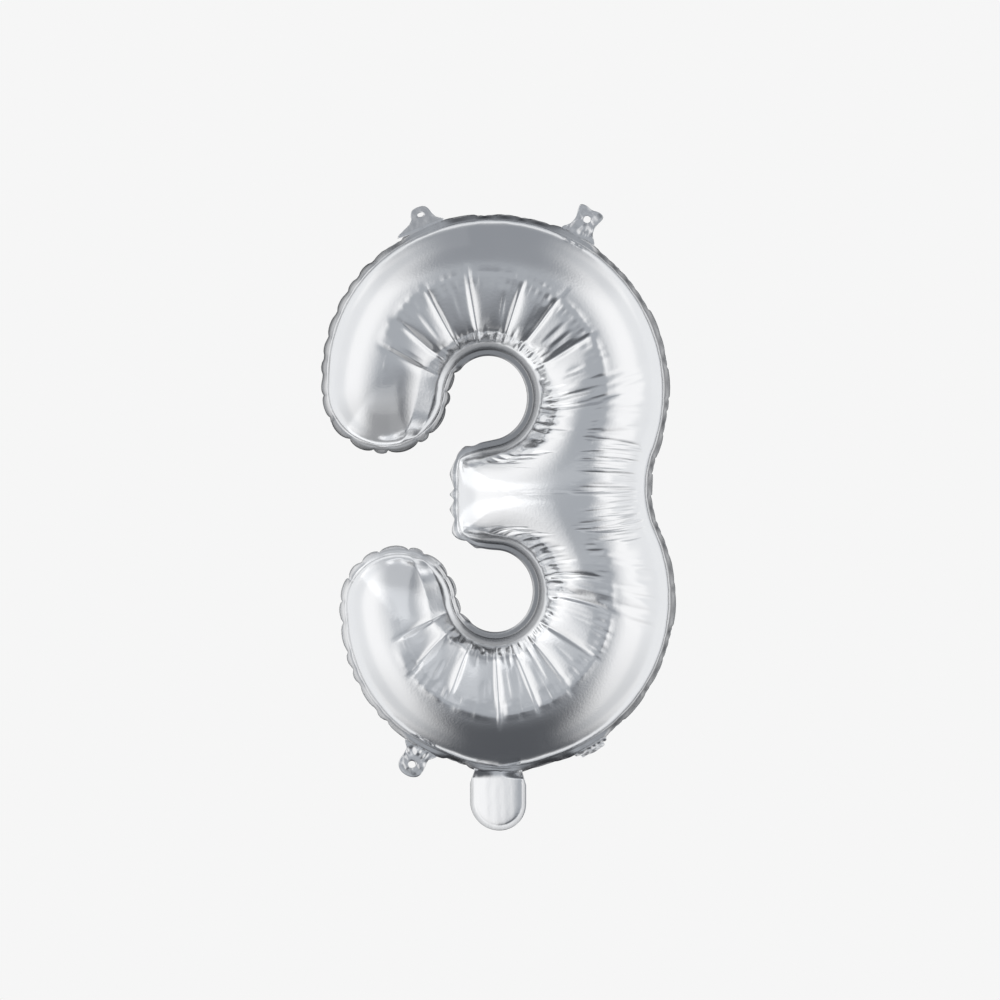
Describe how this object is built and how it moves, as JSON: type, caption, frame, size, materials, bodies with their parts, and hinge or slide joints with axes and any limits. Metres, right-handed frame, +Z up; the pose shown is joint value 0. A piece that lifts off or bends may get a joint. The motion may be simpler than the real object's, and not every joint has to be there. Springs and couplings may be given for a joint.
{
  "type": "foil number balloon",
  "caption": "Air-filled foil balloon in the shape of a digit three, with puffed strokes, a welded border, hanging tabs with eyelets and a folding tail with a self-sealing valve.",
  "frame": {"origin": "midway between the two top eyelets, on the line the digit hangs from", "axes": "+X to the digit's right, +Z up, the front faces -Y, and the two films meet in the plane y = 0"},
  "size_m": [0.2255, 0.0826, 0.3904],
  "materials": {
    "silver_foil": "mirror-bright metallised film",
    "clear_valve_film": "clear thin film"
  },
  "bodies": {
    "envelope": {"front_panel": "silver_foil", "back_panel": "silver_foil"},
    "filling_tail": {"tail_front_film": "silver_foil", "tail_back_film": "silver_foil", "valve_inlet_front_film": "clear_valve_film", "valve_inlet_back_film": "clear_valve_film"},
    "valve_front_lip": {"valve_front_film": "clear_valve_film"},
    "valve_back_lip": {"valve_back_film": "clear_valve_film"},
    "top_right_tab": {"top_right_tab_front_film": "silver_foil", "top_right_tab_back_film": "silver_foil"},
    "top_left_tab": {"top_left_tab_front_film": "silver_foil", "top_left_tab_back_film": "silver_foil"},
    "bottom_left_tab": {"bottom_left_tab_front_film": "silver_foil", "bottom_left_tab_back_film": "silver_foil"},
    "bottom_right_tab": {"bottom_right_tab_front_film": "silver_foil", "bottom_right_tab_back_film": "silver_foil"}
  },
  "joints": [
    {"name": "tail_fold", "type": "hinge", "parent": "envelope", "child": "filling_tail", "pos_m": [-0.0012, 0, -0.3452], "axis": [1, 0, 0], "range_deg": [-85, 85]},
    {"name": "valve_front_opening", "type": "hinge", "parent": "envelope", "child": "valve_front_lip", "pos_m": [-0.0012, -0.00025, -0.3444], "axis": [1, 0, 0], "range_deg": [0, 3], "stiffness_Nm_per_rad": 0.00005},
    {"name": "valve_back_opening", "type": "hinge", "parent": "envelope", "child": "valve_back_lip", "pos_m": [-0.0012, 0.00025, -0.3444], "axis": [-1, 0, 0], "range_deg": [0, 3], "stiffness_Nm_per_rad": 0.00005},
    {"name": "top_right_tab_fold", "type": "hinge", "parent": "envelope", "child": "top_right_tab", "pos_m": [0.04901, 0, -0.01097], "axis": [-0.8746, 0, 0.4848], "range_deg": [-80, 80], "stiffness_Nm_per_rad": 0.0001},
    {"name": "top_left_tab_fold", "type": "hinge", "parent": "envelope", "child": "top_left_tab", "pos_m": [-0.04673, 0, -0.00511], "axis": [-0.9272, 0, -0.3746], "range_deg": [-123, 37], "stiffness_Nm_per_rad": 0.0001},
    {"name": "bottom_left_tab_fold", "type": "hinge", "parent": "envelope", "child": "bottom_left_tab", "pos_m": [-0.04967, 0, -0.33141], "axis": [0.8746, 0, -0.4848], "range_deg": [-80, 80], "stiffness_Nm_per_rad": 0.0001},
    {"name": "bottom_right_tab_fold", "type": "hinge", "parent": "envelope", "child": "bottom_right_tab", "pos_m": [0.05679, 0, -0.3302], "axis": [0.8634, 0, 0.5045], "range_deg": [-155, 5], "stiffness_Nm_per_rad": 0.0001}
  ]
}
